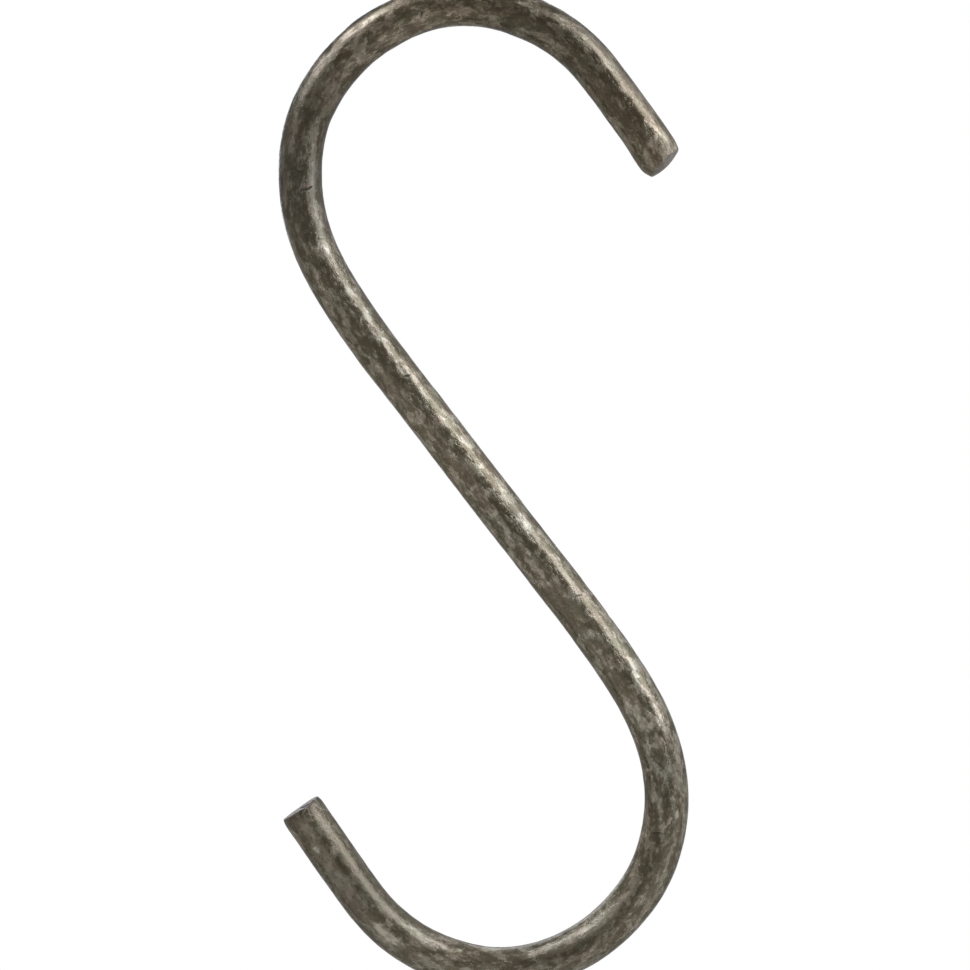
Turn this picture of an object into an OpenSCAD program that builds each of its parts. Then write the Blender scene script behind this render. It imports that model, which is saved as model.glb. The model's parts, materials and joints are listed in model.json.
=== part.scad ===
// S hook, bent cold from one length of round steel rod and cropped at both ends.
// The rod is laid out flat, one straight or bend after another, then stood upright:
// +Z is up, the upper bowl opens towards +X, the lower bowl towards -X, and the front is -Y.
// The origin is where a rail bears, at the top of the inside of the upper bowl.
// Both bowls have their centres on the Z axis, so the load hangs straight below the rail.

/* [Rod] */
// Diameter of the rod
rod_d = 5; // [3:0.5:6]

/* [Hook] */
// Height from the top of the upper bowl to the bottom of the lower bowl
hook_h = 116.4; // [110:0.1:200]
// Radius of the inside of the upper bowl
upper_bowl_r = 16.8; // [12:0.1:20]
// Radius of the inside of the lower bowl
lower_bowl_r = 16.9; // [12:0.1:20]
// Angle through which the rod turns round the upper bowl
upper_turn = 160.91; // [120:0.01:170]
// Angle through which the rod turns round the lower bowl
lower_turn = 161.92; // [120:0.01:170]

/* [Easing into the shank] */
// Radius, to the middle of the rod, of the slack bend between each bowl and the shank
easing_r = 38.9; // [32:0.1:45]
// Angle through which the rod turns in each slack bend
easing_turn = 20.51; // [10:0.01:24]

/* [Upper end] */
// Straight length from the bowl to the middle of the cropped face
upper_end_l = 12.7; // [5:0.1:25]
// Length over which the sides roll in towards the face
upper_roll_l = 1.7; // [0.5:0.1:2]
// Radius of the curve by which the sides roll in
upper_roll_r = 5; // [2.5:0.1:10]
// Slant of the face, which leaves the side towards the bowl longer
upper_slant = 7.5; // [-12:0.5:12]
// Slant of the face towards the front
upper_front_slant = 4.5; // [-12:0.5:12]

/* [Lower end] */
// Straight length from the bowl to the middle of the cropped face
lower_end_l = 12.5; // [5:0.1:25]
// Length over which the sides roll in towards the face
lower_roll_l = 0.9; // [0.5:0.1:2]
// Radius of the curve by which the sides roll in
lower_roll_r = 2.5; // [2.5:0.1:10]
// Slant of the face, which leaves the side towards the bowl longer
lower_slant = 0; // [-12:0.5:12]
// Slant of the face towards the front
lower_front_slant = 1; // [-12:0.5:12]

/* [Hidden] */
$fn = 96;
steel_colour = [0.41, 0.39, 0.35];
rod_r = rod_d / 2;

// Bowl radii to the middle of the rod, and the distance between the centres of the bowls
upper_r = upper_bowl_r + rod_r;
lower_r = lower_bowl_r + rod_r;
centres = hook_h - upper_r - lower_r - rod_d;

// The shank leans so that both bowls come onto the Z axis, and fills the height that they leave
shank_lean = asin((side_reach(upper_r) + side_reach(lower_r)) / centres);
shank_l = centres * cos(shank_lean) - end_reach(upper_r) - end_reach(lower_r);

// A bend is drawn this many degrees too long before its end is sawn square
spare_turn = 5;
// Block that saws an end off, wide and long enough for the rod and the spare turn
saw_w = 2 * rod_d;
saw_l = 10;

// How far the centre of a bowl lies to the side of the shank's own line
function side_reach(bowl_r) = easing_r - (easing_r - bowl_r) * cos(easing_turn);

// How far the centre of a bowl lies beyond the end of the shank
function end_reach(bowl_r) = (easing_r - bowl_r) * sin(easing_turn);

// Everything past Y = 0, over the width of the rod
module saw_block() {
    translate([-saw_w / 2, 0, -saw_w / 2])
        cube([saw_w, saw_l, saw_w]);
}

// Straight rod from the origin along +Y, with what follows placed at its end
module straight(length) {
    rotate([-90, 0, 0])
        cylinder(r = rod_r, h = length);
    translate([0, length, 0])
        children();
}

// Rod that leaves the origin along +Y and turns towards +X, with what follows placed at its end.
// Its end is sawn in the place of what follows, so that the two meet face to face.
module bend(centre_r, turn) {
    translate([centre_r, 0, 0]) {
        difference() {
            rotate_extrude(start = 180 - turn - spare_turn, angle = turn + spare_turn)
                translate([centre_r, 0])
                    circle(r = rod_r);
            rotate([0, 0, -turn])
                translate([-centre_r, 0, 0])
                    saw_block();
        }
        rotate([0, 0, -turn])
            translate([-centre_r, 0, 0])
                children();
    }
}

// Last length of rod, with sides that curve in towards the cropped face, drawn longer than is left of it
module rolled_nose(roll_l, roll_r) {
    rotate([-90, 0, 0])
        rotate_extrude()
            intersection() {
                square([rod_d, roll_l + rod_r]);
                translate([rod_r - roll_r, 0])
                    circle(r = roll_r);
            }
}

// Straight end of the rod, cropped to a slanting face
module cropped_end(length, roll_l, roll_r, slant, front_slant) {
    difference() {
        straight(length - roll_l)
            rolled_nose(roll_l, roll_r);
        translate([0, length, 0])
            rotate([front_slant, 0, slant])
                saw_block();
    }
}

// The whole rod, laid out flat with the shank's lower end at the origin and the shank along +Y
module laid_out_rod() {
    straight(shank_l)
        bend(easing_r, easing_turn)
            bend(upper_r, upper_turn)
                cropped_end(upper_end_l, upper_roll_l, upper_roll_r, upper_slant, upper_front_slant);
    rotate([0, 0, 180])
        bend(easing_r, easing_turn)
            bend(lower_r, lower_turn)
                cropped_end(lower_end_l, lower_roll_l, lower_roll_r, lower_slant, lower_front_slant);
}

module hook() {
    color(steel_colour)
        translate([0, 0, -upper_bowl_r])
            rotate([90, 0, 0])
                rotate([0, 0, shank_lean])
                    translate([-side_reach(upper_r), -shank_l - end_reach(upper_r), 0])
                        laid_out_rod();
}

hook();
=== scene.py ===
import json
import math
import random

import bmesh
import bpy
from mathutils import Matrix, Vector, kdtree, noise


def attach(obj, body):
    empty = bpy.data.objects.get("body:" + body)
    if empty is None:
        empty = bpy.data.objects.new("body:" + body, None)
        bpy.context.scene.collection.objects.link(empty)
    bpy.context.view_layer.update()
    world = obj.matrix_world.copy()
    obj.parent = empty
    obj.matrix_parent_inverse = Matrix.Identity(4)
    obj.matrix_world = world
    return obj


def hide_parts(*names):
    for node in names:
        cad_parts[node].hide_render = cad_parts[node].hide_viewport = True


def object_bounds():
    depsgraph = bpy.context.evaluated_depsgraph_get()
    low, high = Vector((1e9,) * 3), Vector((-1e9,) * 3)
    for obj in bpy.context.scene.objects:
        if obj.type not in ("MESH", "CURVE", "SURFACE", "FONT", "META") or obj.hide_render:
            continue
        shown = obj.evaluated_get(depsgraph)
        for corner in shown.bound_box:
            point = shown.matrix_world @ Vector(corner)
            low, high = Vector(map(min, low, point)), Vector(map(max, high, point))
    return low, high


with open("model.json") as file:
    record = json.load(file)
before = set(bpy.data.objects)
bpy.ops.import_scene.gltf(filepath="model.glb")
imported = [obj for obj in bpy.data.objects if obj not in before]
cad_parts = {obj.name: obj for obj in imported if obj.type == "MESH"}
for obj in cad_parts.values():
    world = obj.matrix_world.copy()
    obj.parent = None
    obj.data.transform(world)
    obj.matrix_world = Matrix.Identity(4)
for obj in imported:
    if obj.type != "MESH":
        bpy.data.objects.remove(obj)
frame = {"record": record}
cad_low, cad_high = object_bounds()

MM = 0.001
# Points closer than this are one point
TINY = 0.001 * MM
WHITE = (1, 1, 1, 1)
UP = Vector((0, 0, 1))

# ---- the rod's path ----

# The rod and its bends, as the part's source has them
rod_r = next(m["dims"]["r_mm"] for m in frame["record"]["mounts"] if m["name"] == "upper_end") * MM
upper_r = 16.8 * MM + rod_r
lower_r = 16.9 * MM + rod_r
easing_r = 38.9 * MM
upper_turn = math.radians(160.91)
lower_turn = math.radians(161.92)
easing_turn = math.radians(20.51)
upper_end_l = 12.7 * MM
lower_end_l = 12.5 * MM


def side_reach(bowl_r):
    """How far the shank's line stands from a bowl's centre, measured square to the shank"""
    return easing_r - (easing_r - bowl_r) * math.cos(easing_turn)


def end_reach(bowl_r):
    """How far the shank's end stands from a bowl's centre, measured along the shank"""
    return (easing_r - bowl_r) * math.sin(easing_turn)


centres = cad_high.z - cad_low.z - upper_r - lower_r - 2 * rod_r
shank_lean = math.asin((side_reach(upper_r) + side_reach(lower_r)) / centres)
shank_l = centres * math.cos(shank_lean) - end_reach(upper_r) - end_reach(lower_r)

# Each run of the rod from the upper end to the lower one: its length and how far it turns to the left
RUNS = (
    (upper_end_l, 0),
    (upper_r * upper_turn, upper_turn),
    (easing_r * easing_turn, easing_turn),
    (shank_l, 0),
    (easing_r * easing_turn, -easing_turn),
    (lower_r * lower_turn, -lower_turn),
    (lower_end_l, 0),
)
rod_l = sum(length for length, turn in RUNS)

# How far the rod strays to the outer side of the upper bowl: (how far along, how far aside), in millimetres
STRAYS = (
    (0, -0.06), (5, 0.02), (9, 0.03), (14, -0.01), (22, 0.05), (32, 0), (42, 0), (46, -0.11),
    (50, -0.08), (55, -0.01), (61.5, -0.09), (69.5, 0.12), (78, -0.08), (85, 0.08), (93, 0.06),
    (101, 0.08), (109, 0.02), (121.5, -0.04), (129.5, 0.11), (138, -0.11), (145, 0), (150, 0.03),
    (155, -0.01), (161, 0.06), (170, 0), (186, 0.04), (193, 0.07), (198, 0), (208.5, 0.06),
)
# How much wider the rod is than drawn, as a share
OVAL = 0.028
# The higher this is, the closer to the top and the bottom of the hook the straying and the width fade out
HOLD_POWER = 64


def heading(angle):
    """The direction at an angle from +X towards +Z"""
    return Vector((math.cos(angle), 0, math.sin(angle)))


def outward(angle):
    """The direction to the right of a heading, seen from the front"""
    return Vector((math.sin(angle), 0, -math.cos(angle)))


def along_run(place, angle, bend, distance):
    """The point on the rod's middle line at a distance past the start of a run"""
    if bend == 0:
        return place + heading(angle) * distance
    centre = place - outward(angle) / bend
    return centre + outward(angle + bend * distance) / bend


def laid_path():
    """Where each run starts: (length so far, place, heading, turn per metre)"""
    angle = shank_lean - math.pi / 2 - easing_turn - upper_turn
    bowl_centre = Vector((0, 0, cad_high.z - rod_r - upper_r))
    place = bowl_centre + outward(angle) * upper_r - heading(angle) * upper_end_l
    path = []
    so_far = 0
    for length, turn in RUNS:
        bend = turn / length
        path.append((so_far, place, angle, bend))
        place = along_run(place, angle, bend, length)
        angle += turn
        so_far += length
    return path


PATH = laid_path()


def smooth_step(low, high, value):
    """0 below low, 1 above high, and an even S curve between them"""
    t = min(max((value - low) / (high - low), 0), 1)
    return t * t * (3 - 2 * t)


def between(table, along):
    """The value of a table of (how far along, value) at a point, on an even S curve between its rows"""
    before = [row for row in table if row[0] <= along] or [table[0]]
    after = [row for row in table if row[0] > along] or [table[-1]]
    if before[-1] == after[0]:
        return before[-1][1]
    share = smooth_step(before[-1][0], after[0][0], along)
    return before[-1][1] + (after[0][1] - before[-1][1]) * share


def bent(point):
    """Where a point of the straight rod, which lies along +Z from its upper end, goes when the rod is bent.
    The rod strays and is a little wider than deep, but not where the hook is highest or lowest."""
    so_far, place, angle, bend = [run for run in PATH if run[0] <= max(point.z, 0)][-1]
    distance = point.z - so_far
    middle_line = along_run(place, angle, bend, distance)
    side = outward(angle + bend * distance)
    free = 1 - abs(side.z) ** HOLD_POWER
    across = point.x * (1 + OVAL * free) + between(STRAYS, point.z / MM) * MM * free
    return middle_line + side * across + Vector((0, point.y, 0))


# ---- the rod, made straight ----

SIDES = 76
RING_PITCH = 0.2 * MM
END_PITCH = 0.1 * MM
END_L = 2.6 * MM
NICK_PITCH = 0.07 * MM
NICK_ROOM = 0.5 * MM
LONGEST_STRETCH = 10 * MM
LONG_EDGE = 0.5 * MM
FACE_RINGS = 12
RIM_R = 0.12 * MM
RIM_STEPS = 3

# Nicks across the rod: how far along it, where on its girth, how far round it they run, how deep they are
# and how far they slant over their run. Lengths are in millimetres and angles in degrees, from the outer
# side of the upper bowl towards the front.
NICKS = (
    (63.4, 109, 34, 0.10, -0.40),
    (61.3, 93, 16, 0.04, 0.15),
    (36.2, 104, 12, 0.06, 0.1),
    (88.6, 112, 18, 0.04, 0.25),
    (120.6, 115, 26, 0.035, 0.2),
    (150.4, 70, 30, 0.040, -0.2),
    (171.0, 250, 26, 0.040, 0.3),
    (27.0, 300, 30, 0.040, 0.2),
)

# The creases that a blow left under the rim of the lower end, given as nicks are
CREASES = (
    (208.15, 77, 58, 0.26, -0.75),
    (208.60, 83, 40, 0.24, -0.2),
)


def stretches():
    """Where the rings of the rod change their pitch: (how far along, pitch up to there)"""
    marks = [(END_L, END_PITCH)]
    for along, *_ in sorted(NICKS):
        if along * MM - NICK_ROOM > marks[-1][0]:
            marks.append((along * MM - NICK_ROOM, RING_PITCH))
        marks.append((along * MM + NICK_ROOM, NICK_PITCH))
    marks.append((rod_l - END_L, RING_PITCH))
    marks.append((rod_l, END_PITCH))
    return marks


def with_ends(edges):
    """Edges and the points at their ends, in the same order on each run"""
    return edges + list(dict.fromkeys(v for e in edges for v in e.verts))


def straight_rod():
    """A tube of rings along +Z, closer near its ends and its nicks, and closed by a face at each end"""
    bm = bmesh.new()
    bmesh.ops.create_circle(bm, cap_ends=False, radius=rod_r, segments=SIDES)
    first = bm.edges[:]
    last = first
    so_far = 0
    cuts = []
    for mark, pitch in stretches():
        steps = math.ceil((mark - so_far) / LONGEST_STRETCH)
        step = (mark - so_far) / steps
        made = bmesh.ops.spin(bm, geom=with_ends(last), cent=(0, 0, 0), axis=UP, dvec=UP * step,
                              angle=0, steps=steps, use_merge=False, use_duplicate=False)
        last = [g for g in made["geom_last"] if isinstance(g, bmesh.types.BMEdge)]
        cuts.append((so_far, mark, round(step / pitch) - 1))
        so_far = mark
    close_face(bm, first)
    close_face(bm, last)
    bmesh.ops.bevel(bm, geom=with_ends(first + last), offset=RIM_R, offset_type="OFFSET",
                    segments=RIM_STEPS, profile=0.5, affect="EDGES", material=-1)
    for low, high, count in cuts:
        long_edges = [e for e in bm.edges if runs_along(e, low, high)]
        bmesh.ops.subdivide_edges(bm, edges=long_edges, cuts=count, use_grid_fill=True)
    bmesh.ops.recalc_face_normals(bm, faces=bm.faces)
    return bm


def runs_along(edge, low, high):
    """Whether an edge runs along the rod, within a stretch of it"""
    first, last = sorted(v.co.z for v in edge.verts)
    return last - first > LONG_EDGE and first > low - TINY and last < high + TINY


def close_face(bm, rim):
    """Closes an end with rings that shrink to its middle"""
    for ring in range(FACE_RINGS, 0, -1):
        made = bmesh.ops.extrude_edge_only(bm, edges=rim)["geom"]
        verts = [g for g in made if isinstance(g, bmesh.types.BMVert)]
        share = (ring - 1) / ring
        bmesh.ops.scale(bm, vec=(share, share, 1), verts=verts)
        inner = set(verts)
        rim = [g for g in made if isinstance(g, bmesh.types.BMEdge) and set(g.verts) <= inner]
    bmesh.ops.remove_doubles(bm, verts=verts, dist=TINY)


# Each cropped end: how long and how round its sides roll in, how much more its inner side does, how far that
# side flares before it, the slant of its face to the side and to the front, how far the face domes, and how
# much longer the end is than drawn
ENDS = {
    "upper": {"roll_l": 1.7 * MM, "roll_r": 5 * MM, "inner_more": 0.35, "flare": 0.10 * MM,
              "slant": math.tan(math.radians(7.3)), "front_slant": math.tan(math.radians(4.5)),
              "dome": 0.40 * MM, "longer": -0.04 * MM},
    "lower": {"roll_l": 0.9 * MM, "roll_r": 2.5 * MM, "inner_more": 0, "flare": 0,
              "slant": 0, "front_slant": 0, "dome": 0.03 * MM, "longer": 0.02 * MM},
}
# How far in from the face the crop reaches, where its flare has risen in full and where it starts to fall
CROP_L = 5 * MM
FLARE_RISEN = 1.2 * MM
FLARE_FALLS = 2 * MM


def crop_end(point, end, depth):
    """Rolls the sides in and slants the face: depth is how far the point lies in from the square face"""
    shape = ENDS[end]
    past = max(shape["roll_l"] - depth, 0)
    roll = shape["roll_r"] - math.sqrt(shape["roll_r"] ** 2 - past ** 2)
    inwards = -1 if end == "upper" else 1
    inner_side = point.x * inwards
    roll *= 1 + shape["inner_more"] * max(inner_side, 0) / rod_r
    share = 1 - roll / rod_r
    flare = shape["flare"] * smooth_step(0, FLARE_RISEN, depth)
    flare *= 1 - smooth_step(FLARE_FALLS, CROP_L, depth)
    flare *= max(inner_side, 0) / rod_r
    rim_share = math.hypot(point.x, point.y) / rod_r
    longer = inner_side * shape["slant"] + point.y * shape["front_slant"] + shape["longer"]
    longer *= 1 - smooth_step(0, CROP_L, depth)
    longer += shape["dome"] * max(1 - rim_share ** 2, 0)
    return Vector((point.x * share + flare * inwards, point.y * share, point.z + longer * inwards))


# ---- the skin: how far each point lies in from the drawn surface, in millimetres ----

# The lumps of the oxide, broad, middling and fine: their size in turns per millimetre and their depth. They
# are drawn out along the rod, and the skin lies at least a little way in.
BROAD_LUMPS = (0.22, 0.06)
MIDDLING_LUMPS = (0.5, 0.035)
GRAIN_LUMPS = (1.5, 0.020)
BROAD_START = Vector((3, 1, 8))
GRAIN_START = Vector((7, 3, 1))
# How the finer lumps repeat: how fast they fade, how much smaller each repeat is, and how many there are
MIDDLING_REPEAT = (0.9, 2.1, 2)
GRAIN_REPEAT = (0.6, 2.0, 2)
LUMP_DRAW = 0.6
LUMP_MIDDLE = 0.012
GRAIN_MIDDLE = 0.013
GRAIN_LEAST = 0.009

# Where a bowl's inner side was pressed flat as it was bent: (middle, half length, depth, girth angle)
FLATS = ((32, 9, 0.20, 180), (175.5, 8, 0.12, 0))
# The share of a flat's half length that is pressed in full, and how fast it fades round the girth
FLAT_FULL = 0.3
FLAT_POWER = 3

# A nick's half width and a crease's, how many of those away it ends, and how far and how often it wanders
NICK_HALF_W = 0.17
CREASE_HALF_W = 0.30
NICK_NEAR = 3
NICK_WANDER = 0.16
NICK_TURNS = 1.8
# A nick is wider at its start than at its end, has a narrow floor, and fades past the ends of its run
NICK_WIDE = 1.1
NICK_TAPER = 0.5
NICK_FLOOR = 0.1
NICK_FADES = 0.6
NICK_ENDS = 1.2

PIT_SEED = 5
PIT_COUNT = 170
PIT_R = (0.28, 0.62)
PIT_DEPTH = (0.015, 0.05)
# How far the scattered pits keep from the ends, and the floor, the ragged edge and the turns of that edge
PIT_CLEAR = 1.5
PIT_FLOOR = 0.25
PIT_RAGGED = 0.6
PIT_TURNS = 3
# Pits and dents in their places: how far along, girth angle, radius and depth
PLACED_PITS = (
    (82.3, 113, 0.40, 0.06),
    (88.9, 110, 0.45, 0.06),
    (113.0, 76, 0.34, 0.04),
    (203.4, 111, 0.36, 0.05),
    (0.6, 62, 0.40, 0.08),
)

# How deep a nick and a crease are where their painted shade is fully black, and how black the painted shade
# in the deepest pit is
NICK_BLACK = 0.035
CREASE_BLACK = 0.8
PIT_BLACK = 0.5

# Patches that are paler, or darker where the strength is below 0. A few are real wear; most are painted
# highlight along the lit bands and painted shade in the dark bands beside the highlights and on the unlit
# side. Each: how far along, girth angle, half length, half width and strength
WEAR_AND_PAINTED_LIGHT = (
    (70.9, 105, 1.25, 1.15, 2.0),
    (208.65, 86, 0.40, 0.65, 3.0),
    (203.4, 111, 0.50, 0.45, 2.0),
    (113.0, 76, 0.60, 0.50, 0.5),
    (74.1, 61, 1.5, 0.42, 1.1),
    (87.5, 62, 2.2, 0.40, 0.9),
    (98.6, 78, 1.0, 0.35, 0.5),
    (134.6, 80, 1.3, 0.45, 0.7),
    (137.4, 117, 2.2, 0.50, 1.0),
    (149.2, 118, 2.2, 0.50, 1.0),
    (163.2, 58, 5.6, 0.60, 1.1),
    (167.5, 86, 7.5, 0.75, -0.8),
    (178.6, 80, 1.5, 0.50, 1.4),
    (190.6, 102, 2.4, 0.75, 1.6),
    (101.0, 88, 2.2, 0.50, 0.7),
    (120.5, 90, 4.0, 0.55, 0.6),
    (89.2, 54, 2.4, 0.60, 0.6),
    (29.0, 90, 2.6, 0.70, -0.6),
    (107.0, 118, 2.4, 0.60, -0.5),
    (113.0, 56, 3.0, 0.70, -0.6),
    (143.2, 120, 2.4, 0.60, -0.5),
    (152.0, 60, 5.5, 0.80, -0.7),
    (161.0, 118, 3.2, 0.70, -0.6),
    (179.5, 56, 3.2, 0.70, -1.0),
    (198.0, 57, 10.5, 0.95, -0.5),
    (110.0, 90, 5.0, 0.60, -0.6),
    (131.0, 88, 2.4, 0.55, -0.5),
    (41.0, 122, 2.2, 0.60, 0.7),
    (46.8, 122, 2.0, 0.60, 0.6),
    (111.6, 117, 1.6, 0.40, 0.6),
    (118.2, 117, 1.8, 0.40, 0.7),
    (14.0, 62, 2.6, 0.50, 0.5),
    (22.0, 60, 2.6, 0.50, 0.6),
    (41.0, 58, 2.2, 0.50, 1.4),
    (63.0, 50, 4.5, 1.00, -0.5),
    (72.0, 48, 4.5, 1.00, -0.5),
    (82.0, 50, 5.0, 1.00, -0.6),
    (201.0, 82, 6.0, 0.40, -0.3),
    (206.2, 103, 0.9, 0.50, 0.8),
    (191.5, 112, 2.6, 0.90, 0.5),
    (204.2, 126, 4.6, 0.80, -0.5),
)
# Stretches where the skin is more even, given as the worn patches are
EVEN = (
    (11.5, 52, 8.5, 0.95, 0.6),
    (165.5, 58, 9.0, 1.25, 0.8),
    (197.0, 58, 12.0, 1.0, 0.6),
    (201.0, 108, 9.5, 1.3, 0.35),
)
# Spots of rust, given as the worn patches are
RUST = (
    (63.0, 112, 0.40, 0.75, 0.7),
    (1.2, 80, 0.6, 0.9, 0.4),
    (150.0, 68, 0.4, 0.6, 0.6),
)
# The share of a patch that is covered in full, and its ragged edge: turns per millimetre and reach
SPOT_FULL = 0.55
SPOT_RAGGED = ((1.7, 0.5), (4, 0.3))


def girth_angle(at):
    """The angle round the rod, 0 to 360 degrees, from the outer side of the upper bowl towards the front"""
    return math.degrees(math.atan2(-at.y, at.x)) % 360


def lumps(at):
    """The depth of the oxide skin's lumps, in millimetres, from broad ones to grains"""
    drawn = Vector((at.x, at.y, at.z * LUMP_DRAW))
    broad = noise.noise(drawn * BROAD_LUMPS[0] + BROAD_START)
    basis = "PERLIN_ORIGINAL"
    middling = noise.fractal(drawn * MIDDLING_LUMPS[0], *MIDDLING_REPEAT, noise_basis=basis)
    grain = noise.fractal(drawn * GRAIN_LUMPS[0] + GRAIN_START, *GRAIN_REPEAT, noise_basis=basis)
    lump = max(LUMP_MIDDLE - BROAD_LUMPS[1] * broad - MIDDLING_LUMPS[1] * middling, 0)
    return lump + max(GRAIN_MIDDLE - GRAIN_LUMPS[1] * grain, GRAIN_LEAST)


def flat_depth(at):
    """The depth of the flats along the inner sides of the bowls, in millimetres"""
    total = 0
    for middle_l, half_l, depth, girth in FLATS:
        share = abs(at.z - middle_l) / half_l
        turn = math.radians(girth_angle(at) - girth)
        if share < 1 and math.cos(turn) > 0:
            total += depth * (1 - smooth_step(FLAT_FULL, 1, share)) * math.cos(turn) ** FLAT_POWER
    return total


def nick_depth(at, nicks, middle_half_w):
    """The depth of the nicks at a point, in millimetres, with ragged sides and tapered ends"""
    total = 0
    for along, girth, reach, depth, slant in nicks:
        off = at.z - along
        if abs(off) > NICK_NEAR * middle_half_w:
            continue
        turn = (girth_angle(at) - girth + 180) % 360 - 180
        share = turn / (reach / 2)
        if abs(share) > NICK_ENDS:
            continue
        wander = NICK_WANDER * noise.noise(Vector((at.x, at.y, along)) * NICK_TURNS)
        half_w = middle_half_w * (NICK_WIDE - NICK_TAPER * share)
        from_line = abs(off - (wander + slant * share / 2))
        groove = 1 - smooth_step(NICK_FLOOR * half_w, half_w, from_line)
        total += depth * groove * (1 - smooth_step(NICK_FADES, NICK_ENDS, abs(share)))
    return total


def on_rod(along, girth):
    """The place on the straight rod, in millimetres, at a length and a girth angle"""
    turn = math.radians(girth)
    return Vector((math.cos(turn) * rod_r / MM, -math.sin(turn) * rod_r / MM, along))


def pits():
    """Placed and scattered pits: (place on the straight rod in millimetres, radius, depth)"""
    draw = random.Random(PIT_SEED)
    found = [(on_rod(along, girth), radius, depth) for along, girth, radius, depth in PLACED_PITS]
    for _ in range(PIT_COUNT):
        place = on_rod(draw.uniform(PIT_CLEAR, rod_l / MM - PIT_CLEAR), draw.uniform(0, 360))
        found.append((place, draw.uniform(*PIT_R), draw.uniform(*PIT_DEPTH)))
    return found


def lay_spots(bm, tree, layer, spots):
    """Keeps on a layer of the points how strongly each of the spots covers them"""
    for along, girth, half_l, half_w, strength in spots:
        middle_of = on_rod(along, girth)
        for at, index, _ in tree.find_range(middle_of, max(half_l, half_w)):
            off = at - middle_of
            share = math.hypot(off.z / half_l, math.hypot(off.x, off.y) / half_w)
            ragged = 1
            for turns, reach in SPOT_RAGGED:
                ragged += reach * noise.noise(at * turns)
            bm.verts[index][layer] += strength * (1 - smooth_step(SPOT_FULL, 1, share * ragged))


def press_pits(bm, tree, depths, hollow):
    """Adds the pits to the depths of the points, and keeps how hollow they make each one"""
    for place, radius, depth in pits():
        for at, index, distance in tree.find_range(place, radius):
            ragged = 1 + PIT_RAGGED * noise.noise(at * PIT_TURNS)
            bowl = 1 - smooth_step(PIT_FLOOR, 1, distance / radius * ragged)
            depths[index] += depth * bowl
            bm.verts[index][hollow] += PIT_BLACK * min(bowl * depth / PIT_DEPTH[1], 1)


def weather(bm):
    """Presses lumps, flats, nicks and pits into the rod along its normals, and keeps at each point how hollow
    it is, for the painted shade in the hollows, how much wear and painted highlight and shade its skin has,
    and how rusty and even it is"""
    layers = bm.verts.layers.float
    hollow, wear_and_painted_light, rust, even = (layers.new(name) for name in ("hollow", "wear_and_painted_light", "rust", "even"))
    bm.normal_update()
    bm.verts.ensure_lookup_table()
    tree = kdtree.KDTree(len(bm.verts))
    depths = []
    for v in bm.verts:
        at = v.co / MM
        tree.insert(at, v.index)
        nick = nick_depth(at, NICKS, NICK_HALF_W)
        crease = nick_depth(at, CREASES, CREASE_HALF_W)
        # How hollow the point is, which sets the painted shade in the nicks and creases
        v[hollow] = nick / NICK_BLACK + crease / CREASE_BLACK
        depths.append(lumps(at) + flat_depth(at) + nick + crease)
    tree.balance()
    press_pits(bm, tree, depths, hollow)
    # Patches of real wear, painted highlight and painted shade
    lay_spots(bm, tree, wear_and_painted_light, WEAR_AND_PAINTED_LIGHT)
    lay_spots(bm, tree, even, EVEN)
    lay_spots(bm, tree, rust, RUST)
    moves = [v.normal * depth * MM for v, depth in zip(bm.verts, depths)]
    for v, move in zip(bm.verts, moves):
        v.co -= move


def hook_rod():
    """The whole rod: made straight, cropped, weathered and bent"""
    bm = straight_rod()
    place = bm.verts.layers.float_vector.new("straight")
    for v in bm.verts:
        v[place] = v.co / MM
    for v in bm.verts:
        if v.co.z < CROP_L:
            v.co = crop_end(v.co, "upper", v.co.z)
        elif v.co.z > rod_l - CROP_L:
            v.co = crop_end(v.co, "lower", rod_l - v.co.z)
    weather(bm)
    for v in bm.verts:
        v.co = bent(v.co)
    mesh = bpy.data.meshes.new("bent_rod")
    for face in bm.faces:
        face.smooth = True
    bm.to_mesh(mesh)
    bm.free()
    rod = bpy.data.objects.new("bent_rod", mesh)
    bpy.context.scene.collection.objects.link(rod)
    return rod


# ---- parts that materials are made of; a tree is the node tree that they are added to ----


def new_material(name):
    """A material with nothing but its shader and its output: (material, tree, shader)"""
    material = bpy.data.materials.new(name)
    material.use_nodes = True
    tree = material.node_tree
    return material, tree, tree.nodes["Principled BSDF"]


def add_attribute(tree, name, output="Fac"):
    """Reads what the points of the piece keep under a name"""
    attribute = tree.nodes.new("ShaderNodeAttribute")
    attribute.attribute_name = name
    return attribute.outputs[output]


def add_math(tree, operation, *values):
    """A sum on two or three values, each a socket or a number"""
    sum_of = tree.nodes.new("ShaderNodeMath")
    sum_of.operation = operation
    for socket, value in zip(sum_of.inputs, values):
        if isinstance(value, (int, float)):
            socket.default_value = value
        else:
            tree.links.new(value, socket)
    return sum_of.outputs["Value"]


def add_vector_math(tree, operation, place, other, output):
    """A sum on a place and three numbers"""
    sum_of = tree.nodes.new("ShaderNodeVectorMath")
    sum_of.operation = operation
    tree.links.new(place, sum_of.inputs[0])
    sum_of.inputs[1].default_value = other
    return sum_of.outputs[output]


def add_range(tree, value, low, high, to_low=0.0, to_high=1.0):
    """Maps low..high of a value to to_low..to_high with an even S curve"""
    mapped = tree.nodes.new("ShaderNodeMapRange")
    mapped.interpolation_type = "SMOOTHSTEP"
    mapped.inputs["From Min"].default_value = low
    mapped.inputs["From Max"].default_value = high
    mapped.inputs["To Min"].default_value = to_low
    mapped.inputs["To Max"].default_value = to_high
    tree.links.new(value, mapped.inputs["Value"])
    return mapped.outputs["Result"]


def add_stretch(tree, place, scale):
    """A place with each of its axes scaled"""
    stretch = tree.nodes.new("ShaderNodeMapping")
    stretch.inputs["Scale"].default_value = scale
    tree.links.new(place, stretch.inputs["Vector"])
    return stretch.outputs["Vector"]


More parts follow.
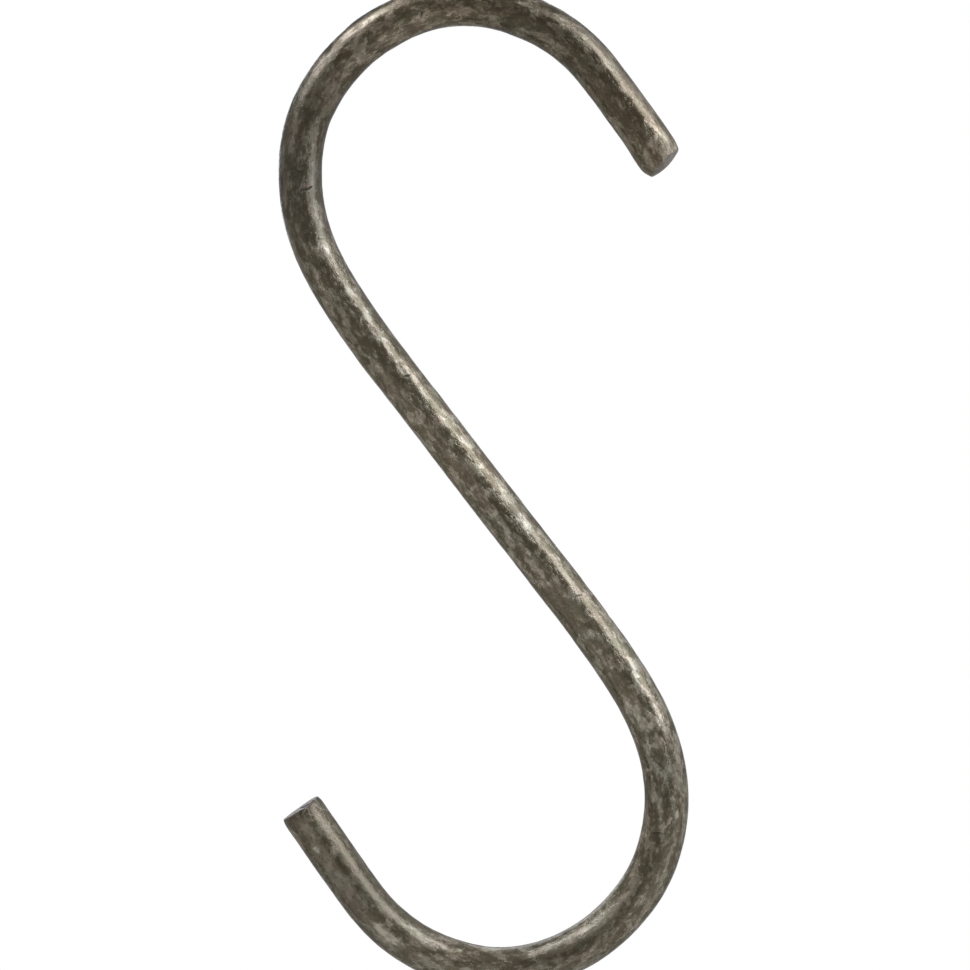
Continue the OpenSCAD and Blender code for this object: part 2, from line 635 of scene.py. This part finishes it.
def add_noise(tree, place, scale, detail, roughness):
    """A noise texture on the given place, with its size in turns per millimetre"""
    texture = tree.nodes.new("ShaderNodeTexNoise")
    texture.inputs["Scale"].default_value = scale
    texture.inputs["Detail"].default_value = detail
    texture.inputs["Roughness"].default_value = roughness
    tree.links.new(place, texture.inputs["Vector"])
    return texture.outputs["Fac"]


def add_warp(tree, place, scale, detail, reach):
    """A place pushed about by a noise"""
    push = tree.nodes.new("ShaderNodeTexNoise")
    push.inputs["Scale"].default_value = scale
    push.inputs["Detail"].default_value = detail
    tree.links.new(place, push.inputs["Vector"])
    warp = tree.nodes.new("ShaderNodeVectorMath")
    warp.operation = "MULTIPLY_ADD"
    tree.links.new(push.outputs["Color"], warp.inputs[0])
    warp.inputs[1].default_value = (reach, reach, reach)
    tree.links.new(place, warp.inputs[2])
    return warp.outputs["Vector"]


def add_ramp(tree, value, stops):
    """A colour for each value, through stops of (value, red, green, blue)"""
    ramp = tree.nodes.new("ShaderNodeValToRGB")
    marks = ramp.color_ramp.elements
    while len(marks) < len(stops):
        marks.new(0.5)
    for mark, (at, *colour) in zip(marks, stops):
        mark.position = at
        mark.color = (*colour, 1)
    tree.links.new(value, ramp.inputs["Fac"])
    return ramp.outputs["Color"]


def add_grey_ramp(tree, value, stops):
    """A number for each value, through stops of (value, number)"""
    return add_ramp(tree, value, [(at, much, much, much) for at, much in stops])


# Where a colour mix has its two colours among its inputs, and its result among its outputs
MIX_FIRST, MIX_SECOND, MIX_RESULT = 6, 7, 2


def add_mix(tree, share, first, second):
    """Mixes two colours, each a socket or four numbers"""
    mix = tree.nodes.new("ShaderNodeMix")
    mix.data_type = "RGBA"
    tree.links.new(share, mix.inputs["Factor"])
    for socket, colour in ((mix.inputs[MIX_FIRST], first), (mix.inputs[MIX_SECOND], second)):
        if isinstance(colour, tuple):
            socket.default_value = colour
        else:
            tree.links.new(colour, socket)
    return mix.outputs[MIX_RESULT]


def add_product(tree, first, second):
    """Multiplies two colours"""
    mix = tree.nodes.new("ShaderNodeMix")
    mix.data_type = "RGBA"
    mix.blend_type = "MULTIPLY"
    mix.inputs["Factor"].default_value = 1.0
    tree.links.new(first, mix.inputs[MIX_FIRST])
    tree.links.new(second, mix.inputs[MIX_SECOND])
    return mix.outputs[MIX_RESULT]


def add_shader_mix(tree, share, first, second, output):
    """Mixes two shaders by a share and sends the mix to the surface of an output"""
    mix = tree.nodes.new("ShaderNodeMixShader")
    tree.links.new(share, mix.inputs["Fac"])
    tree.links.new(first, mix.inputs[1])
    tree.links.new(second, mix.inputs[2])
    tree.links.new(mix.outputs["Shader"], tree.nodes[output].inputs["Surface"])


# ---- the aged steel ----

# The skin's colour for each tone, from the darkest oxide to bare worn steel: one brownish and one olive
BROWN_SKIN = (
    (0.27, 0.078, 0.061, 0.037),
    (0.34, 0.108, 0.087, 0.056),
    (0.41, 0.137, 0.112, 0.077),
    (0.50, 0.172, 0.143, 0.101),
    (0.60, 0.221, 0.186, 0.139),
    (0.70, 0.299, 0.255, 0.196),
    (0.84, 0.422, 0.376, 0.294),
)
OLIVE_SKIN = (
    (0.27, 0.074, 0.062, 0.036),
    (0.34, 0.102, 0.089, 0.055),
    (0.41, 0.130, 0.115, 0.076),
    (0.50, 0.162, 0.146, 0.101),
    (0.60, 0.208, 0.190, 0.138),
    (0.70, 0.282, 0.260, 0.195),
    (0.84, 0.422, 0.376, 0.294),
)
# How pale the skin is along the rod: partly its own tone and partly painted shade, darker towards the lower
# end where less light falls and in a dip just before the lower end's face, under its rim. Each: (share of its
# length from the upper end, paleness, warmth)
PALENESS_AND_SHADE = (
    (0.0, 0.80, 0.6), (0.01, 0.72, 1.0), (0.05, 0.57, 1.0), (0.085, 0.46, 1.0), (0.12, 0.50, 1.0),
    (0.16, 0.74, 1.0), (0.20, 0.64, 0.8), (0.25, 0.44, 0.5), (0.31, 0.46, 0.0), (0.35, 0.70, 0.0),
    (0.40, 0.76, 0.0), (0.46, 0.95, 0.0), (0.49, 0.96, 0.0), (0.525, 0.80, -0.3), (0.56, 0.95, -0.3),
    (0.65, 0.95, -0.4), (0.69, 0.67, -0.3), (0.73, 0.78, -0.1), (0.775, 0.78, 0.0), (0.81, 0.61, 0.0),
    (0.835, 0.68, 0.0), (0.86, 0.84, 0.0), (0.90, 0.74, 0.0), (0.94, 0.60, 0.0), (0.965, 0.67, 0.0),
    (0.9935, 0.76, 0.0), (0.9965, 0.52, 0.0), (1.0, 0.56, 0.0),
)
# How much one of warmth adds to the red, the green and the blue, as a share
WARM_TINT = (0.05, 0.0, -0.06)
# How mottled it is along the rod
MOTTLING = (
    (0.0, 1.05), (0.22, 1.05), (0.26, 0.80), (0.31, 0.80), (0.36, 1.0), (0.72, 1.05), (0.82, 0.95),
    (0.92, 0.88),
)
# How much rougher the skin gets along the rod
DULLNESS = (
    (0.0, 0.28), (0.0105, 0.22), (0.018, 0.005), (0.05, 0.025), (0.12, 0.045), (0.24, 0.045),
    (0.275, 0.13), (0.32, 0.10), (0.36, 0.05), (0.40, 0.035), (0.47, 0.03), (0.54, 0.045),
    (0.68, 0.055), (0.76, 0.045), (0.80, 0.035), (0.86, 0.09), (0.94, 0.12), (1.0, 0.12),
)

# How the noises are drawn out: a little along the rod, far along it, and across the cropped faces
LENGTHWAYS = (1, 1, 0.5)
DRAWN_OUT = (1, 1, 0.1)
ACROSS_FACE = (0.5, 2.4, 1)
# Each noise: its size in turns per millimetre, its detail and its roughness
CLOUDS = (0.22, 2, 0.5)
PATCHES = (0.95, 4, 0.62)
FINE_PATCHES = (2.6, 3, 0.6)
DRAWN_LINES = (1.8, 3, 0.6)
GRAIN = (4.2, 2, 0.6)
HUES = (0.8, 3, 0.5)
STREAKS = (0.9, 3, 0.6)
SPECKS = (2.6, 2, 0.5)
# How the patches' outlines are pushed about: turns per millimetre, detail and reach
PATCH_WARP = (1.3, 3, 0.9)
# How much the clouds crowd the flakes together
CROWDING = 0.26
# Where the edges of the flakes and of the hues lie in their noises
FLAKE_EDGE = (0.50, 0.56)
FINE_EDGE = (0.52, 0.60)
HUE_EDGE = (0.40, 0.60)
# How much each noise adds to the height of the skin
FLAKE_H = 0.175
FINE_H = 0.14
PATCH_H = 0.48
CLOUD_H = 0.06
LINE_H = 0.12
GRAIN_H = 0.24
# The tone of skin of middle height, and how much a patch of wear and painted light adds to it
MIDDLE_TONE = 0.5
WEAR_AND_LIGHT_TONE = 0.16

# The cropped faces, streaked by the tool that cut them: how far in they reach, in millimetres from the end,
# how much bare steel they show, how much less of it where they are worn, and the edge of the streaks
FACE_DARK = (0.100, 0.091, 0.087, 1)
FACE_PALE = (0.205, 0.186, 0.180, 1)
FACE_EDGE = (0.14, 0.02)
FACE_BARE = 0.6
FACE_WORN = 0.8
STREAK_EDGE = (0.36, 0.62)
RUST_SKIN = (0.105, 0.075, 0.056, 1)
RUST_SHARE = 0.8
# Dark specks, and the painted shade in the hollows: from where to where they deepen, and how much they cover
SPECK_SKIN = (0.030, 0.027, 0.022, 1)
SPECK_RANGE = (0.36, 0.27, 0.0, 0.6)
HOLLOW_SHADE = (0.020, 0.017, 0.014, 1)
HOLLOW_RANGE = (0.1, 1.0, 0.0, 0.85)
# How rough the skin is, from its lowest to its highest, and how much rougher on the faces and in the hollows
ROUGH_RANGE = (-0.15, 0.20, 0.17, 0.27)
FACE_ROUGHER = 0.20
HOLLOW_ROUGHER = 0.20
# The steel's shine: how metallic it is, the tint of its edges, and the thin film of oil on it
METALLIC = 0.75
EDGE_TINT = (0.32, 0.32, 0.32, 1)
OIL_FILM = 0.2
OIL_ROUGHNESS = 0.20
# How far the skin's height of one stands out
BUMP_H = 0.05 * MM


def skin_height(tree, place, longer):
    """How high the skin stands at a place, about 0: flakes, patches, drawn lines and grain"""
    cloud = add_noise(tree, longer, *CLOUDS)
    patch = add_noise(tree, add_warp(tree, longer, *PATCH_WARP), *PATCHES)
    crowd = add_math(tree, "MULTIPLY_ADD", cloud, CROWDING, -CROWDING / 2)
    crowded = add_math(tree, "ADD", patch, crowd)
    fine = add_math(tree, "ADD", add_noise(tree, longer, *FINE_PATCHES), crowd)
    height = 0.0
    for noise_out, share in (
            (add_range(tree, crowded, *FLAKE_EDGE), FLAKE_H),
            (add_range(tree, fine, *FINE_EDGE), FINE_H),
            (patch, PATCH_H),
            (cloud, CLOUD_H),
            (add_noise(tree, add_stretch(tree, place, DRAWN_OUT), *DRAWN_LINES), LINE_H),
            (add_noise(tree, place, *GRAIN), GRAIN_H)):
        part = add_math(tree, "MULTIPLY_ADD", noise_out, share, -share / 2)
        height = add_math(tree, "ADD", part, height)
    return height


def skin_colour(tree, height, longer, share):
    """The oxide's colour: its tone from the height, the wear and the painted highlight and shade, its hue in
    patches, its paleness with its painted shade, and rust
    """
    patchy = add_math(tree, "SUBTRACT", 1.0, add_attribute(tree, "even"))
    mottling = add_math(tree, "MULTIPLY", add_grey_ramp(tree, share, MOTTLING), patchy)
    tone = add_math(tree, "MULTIPLY_ADD", height, mottling, MIDDLE_TONE)
    # Patches of wear, painted highlight and painted shade lift or lower the tone
    tone = add_math(tree, "MULTIPLY_ADD", add_attribute(tree, "wear_and_painted_light"), WEAR_AND_LIGHT_TONE, tone)
    hue = add_range(tree, add_noise(tree, longer, *HUES), *HUE_EDGE)
    skin = add_mix(tree, hue, add_ramp(tree, tone, BROWN_SKIN), add_ramp(tree, tone, OLIVE_SKIN))
    # Paleness along the rod, with painted shade towards the lower end and under its rim
    paleness_and_shade = [(at, *(pale * (1 + warmth * tint) for tint in WARM_TINT)) for at, pale, warmth in PALENESS_AND_SHADE]
    skin = add_product(tree, skin, add_ramp(tree, share, paleness_and_shade))
    rusty = add_math(tree, "MULTIPLY", add_attribute(tree, "rust"), RUST_SHARE)
    return add_mix(tree, rusty, skin, RUST_SKIN)


def with_bare_faces(tree, skin, place, cut):
    """The skin's colour, with streaked steel on the cropped faces where cut is 1"""
    streaks = add_noise(tree, add_stretch(tree, place, ACROSS_FACE), *STREAKS)
    face = add_mix(tree, add_range(tree, streaks, *STREAK_EDGE), FACE_DARK, FACE_PALE)
    bare = add_math(tree, "MULTIPLY_ADD", add_attribute(tree, "wear_and_painted_light"), -FACE_WORN, FACE_BARE)
    return add_mix(tree, add_math(tree, "MULTIPLY", cut, bare), skin, face)


def with_specks_and_hollows(tree, skin, place, hollow):
    """The skin's colour, with dark specks, and painted shade where it is hollow"""
    speck = add_noise(tree, place, *SPECKS)
    skin = add_mix(tree, add_range(tree, speck, *SPECK_RANGE), skin, SPECK_SKIN)
    # Painted shade in the nicks, creases and pits, darkest where they are deepest
    return add_mix(tree, hollow, skin, HOLLOW_SHADE)


def skin_roughness(tree, height, share, cut, hollow):
    """How rough the skin is: by its height, by its place along the rod, on the faces and in the hollows"""
    rough = add_range(tree, height, *ROUGH_RANGE)
    rough = add_math(tree, "ADD", rough, add_grey_ramp(tree, share, DULLNESS))
    rough = add_math(tree, "MULTIPLY_ADD", cut, FACE_ROUGHER, rough)
    return add_math(tree, "MULTIPLY_ADD", hollow, HOLLOW_ROUGHER, rough)


def aged_steel():
    """Dark oxide with paler worn patches, painted highlight and shade, and painted shade in its hollows, on
    the length and the girth of the straight rod
    """
    material, tree, shader = new_material("aged_steel")
    place = add_attribute(tree, "straight", "Vector")
    longer = add_stretch(tree, place, LENGTHWAYS)
    axes = tree.nodes.new("ShaderNodeSeparateXYZ")
    tree.links.new(place, axes.inputs["Vector"])
    share = add_math(tree, "MULTIPLY", axes.outputs["Z"], MM / rod_l)
    from_end = add_math(tree, "PINGPONG", axes.outputs["Z"], rod_l / MM / 2)
    cut = add_range(tree, from_end, *FACE_EDGE)
    hollow = add_range(tree, add_attribute(tree, "hollow"), *HOLLOW_RANGE)
    height = skin_height(tree, place, longer)

    skin = skin_colour(tree, height, longer, share)
    skin = with_bare_faces(tree, skin, place, cut)
    skin = with_specks_and_hollows(tree, skin, place, hollow)
    tree.links.new(skin, shader.inputs["Base Color"])
    tree.links.new(skin_roughness(tree, height, share, cut, hollow), shader.inputs["Roughness"])
    shader.inputs["Metallic"].default_value = METALLIC
    shader.inputs["Specular Tint"].default_value = EDGE_TINT
    shader.inputs["Coat Weight"].default_value = OIL_FILM
    shader.inputs["Coat Roughness"].default_value = OIL_ROUGHNESS

    bump = tree.nodes.new("ShaderNodeBump")
    bump.inputs["Strength"].default_value = 1.0
    bump.inputs["Distance"].default_value = BUMP_H
    tree.links.new(height, bump.inputs["Height"])
    tree.links.new(bump.outputs["Normal"], shader.inputs["Normal"])
    tree.links.new(bump.outputs["Normal"], shader.inputs["Coat Normal"])
    return material


# ---- floor, light and camera ----

middle = (cad_low + cad_high) / 2

# The floor: how far it lies below the hook, its side in metres, its squares a side and its middle
FLOOR_DROP = 60 * MM
FLOOR_SIDE = 1.6
FLOOR_GRID = 8
floor_middle = Vector((middle.x, middle.y, cad_low.z - FLOOR_DROP))
FLOOR_COLOUR = (0.87, 0.84, 0.77, 1)
FLOOR_ROUGHNESS = 0.8
FLOOR_GLOSS = 0.1
# How far from its middle the floor starts to fade to white, and where it is white
FLOOR_FADE = (0.12, 0.25)
# The strength of the surround's own light on what is dull
SOFT_STRENGTH = 0.3
# As gloss shows it, the room behind the camera is darker: its strength there, and the cosines of the angles
# from the line to the camera between which it brightens
DIM_STRENGTH = 0.60
DIM_FADE = (math.cos(math.radians(56)), math.cos(math.radians(24)))

# The camera: its lens, how wide a view it takes in, the point it looks at and how far it is rolled
LENS = 100
VIEW_W = 112.28 * MM
VIEW_AIM = Vector((0.295 * MM, 0, -52.97 * MM))
VIEW_ROLL = math.radians(3.0)

# The lamps' colour
DAYLIGHT = (0.95, 1.0, 1.15)
# Each lamp: its name, its tilt and its turn in degrees, its distance in metres, its spread in degrees each
# way, and its radiance
LAMPS = (
    ("soft_lamp_right", 61, 35, 0.6, (50, 30), 5.4),
    ("soft_lamp_side", 86, 38, 0.16, (46, 34), 1.7),
    ("soft_lamp_left", 80, 121, 0.25, (36, 34), 5.0),
    ("soft_lamp_back", 122, 38, 0.6, (50, 34), 0.5),
    ("soft_lamp_rear", 152, 118, 0.4, (50, 24), 3.5),
    ("soft_lamp_below", 62, 270, 0.125, (90, 60), 0.30),
)


def seen_directly(tree):
    """1 for what the camera sees, straight or in gloss or through glass, and 0 for light on a dull surface"""
    path = tree.nodes.new("ShaderNodeLightPath")
    total = path.outputs["Is Camera Ray"]
    for name in ("Is Glossy Ray", "Is Transmission Ray"):
        total = add_math(tree, "MAXIMUM", total, path.outputs[name])
    return total


def white_surround():
    """A world that is white where it is seen, a little darker behind the camera as gloss sees it, and a
    soft even light elsewhere"""
    world = bpy.data.worlds.new("white_surround")
    bpy.context.scene.world = world
    world.use_nodes = True
    tree = world.node_tree
    soft = tree.nodes["Background"]
    soft.inputs["Color"].default_value = WHITE
    soft.inputs["Strength"].default_value = SOFT_STRENGTH
    way = tree.nodes.new("ShaderNodeTexCoord").outputs["Generated"]
    front = add_vector_math(tree, "DOT_PRODUCT", way, (0, -1, 0), "Value")
    dim = add_range(tree, front, *DIM_FADE, 1.0, DIM_STRENGTH)
    path = tree.nodes.new("ShaderNodeLightPath")
    dim = add_math(tree, "MAXIMUM", dim, path.outputs["Is Camera Ray"])
    seen = tree.nodes.new("ShaderNodeBackground")
    seen.inputs["Color"].default_value = WHITE
    tree.links.new(dim, seen.inputs["Strength"])
    add_shader_mix(tree, seen_directly(tree), soft.outputs["Background"], seen.outputs["Background"],
                   "World Output")


def floor_paint():
    """Matt off-white near the hook, plain white where it is far from it and seen"""
    material, tree, shader = new_material("floor_paint")
    shader.inputs["Base Color"].default_value = FLOOR_COLOUR
    shader.inputs["Roughness"].default_value = FLOOR_ROUGHNESS
    shader.inputs["Specular IOR Level"].default_value = FLOOR_GLOSS
    place = tree.nodes.new("ShaderNodeTexCoord").outputs["Object"]
    distance = add_vector_math(tree, "DISTANCE", place, floor_middle, "Value")
    far = add_range(tree, distance, *FLOOR_FADE)
    glow = tree.nodes.new("ShaderNodeEmission")
    glow.inputs["Color"].default_value = WHITE
    glow.inputs["Strength"].default_value = 1.0
    share = add_math(tree, "MULTIPLY", far, seen_directly(tree))
    add_shader_mix(tree, share, shader.outputs["BSDF"], glow.outputs["Emission"], "Material Output")
    return material


def pale_floor():
    """A pale floor below the hook that takes its shadow and fades to white away from it"""
    bm = bmesh.new()
    bmesh.ops.create_grid(bm, x_segments=FLOOR_GRID, y_segments=FLOOR_GRID, size=FLOOR_SIDE / 2)
    bmesh.ops.translate(bm, verts=bm.verts, vec=floor_middle)
    mesh = bpy.data.meshes.new("floor")
    bm.to_mesh(mesh)
    bm.free()
    floor = bpy.data.objects.new("floor", mesh)
    bpy.context.scene.collection.objects.link(floor)
    mesh.materials.append(floor_paint())


def soft_lamp(name, tilt, round_front, distance, spread, radiance):
    """A soft lamp that faces the hook: tilt is its angle from the line to the camera, and round_front its
    angle from the right about that line. Its spread is how wide it looks from the hook, each way."""
    tilt = math.radians(tilt)
    towards = heading(math.radians(round_front)) * math.sin(tilt) - Vector((0, math.cos(tilt), 0))
    across = Vector((0, 1, 0)).cross(towards).normalized()
    light = bpy.data.lights.new(name, "AREA")
    light.shape = "RECTANGLE"
    light.size = 2 * distance * math.tan(math.radians(spread[0] / 2))
    light.size_y = 2 * distance * math.tan(math.radians(spread[1] / 2))
    light.color = DAYLIGHT
    light.energy = radiance * math.pi * light.size * light.size_y
    lamp = bpy.data.objects.new(name, light)
    turned = Matrix((across, towards.cross(across), towards)).transposed().to_4x4()
    lamp.matrix_world = Matrix.Translation(middle + towards * distance) @ turned
    lamp.visible_camera = False
    bpy.context.scene.collection.objects.link(lamp)


def studio_light():
    """Soft lamps to the right and the left of the front, weaker ones to the side and behind, and a faint one
    below"""
    for lamp in LAMPS:
        soft_lamp(*lamp)


def camera():
    """A level camera square to the front, turned a little about its own line of sight"""
    data = bpy.data.cameras.new("camera")
    data.lens = LENS
    distance = VIEW_W * LENS / data.sensor_width
    view = bpy.data.objects.new("camera", data)
    level = Matrix.Rotation(math.pi / 2, 4, "X")
    roll = Matrix.Rotation(VIEW_ROLL, 4, "Y")
    view.matrix_world = Matrix.Translation(VIEW_AIM - Vector((0, distance, 0))) @ roll @ level
    bpy.context.scene.collection.objects.link(view)
    bpy.context.scene.camera = view


bpy.context.scene.view_settings.view_transform = "Standard"
white_surround()
pale_floor()
studio_light()
camera()

rod = hook_rod()
rod.data.materials.append(aged_steel())
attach(rod, "root")
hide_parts("hook")
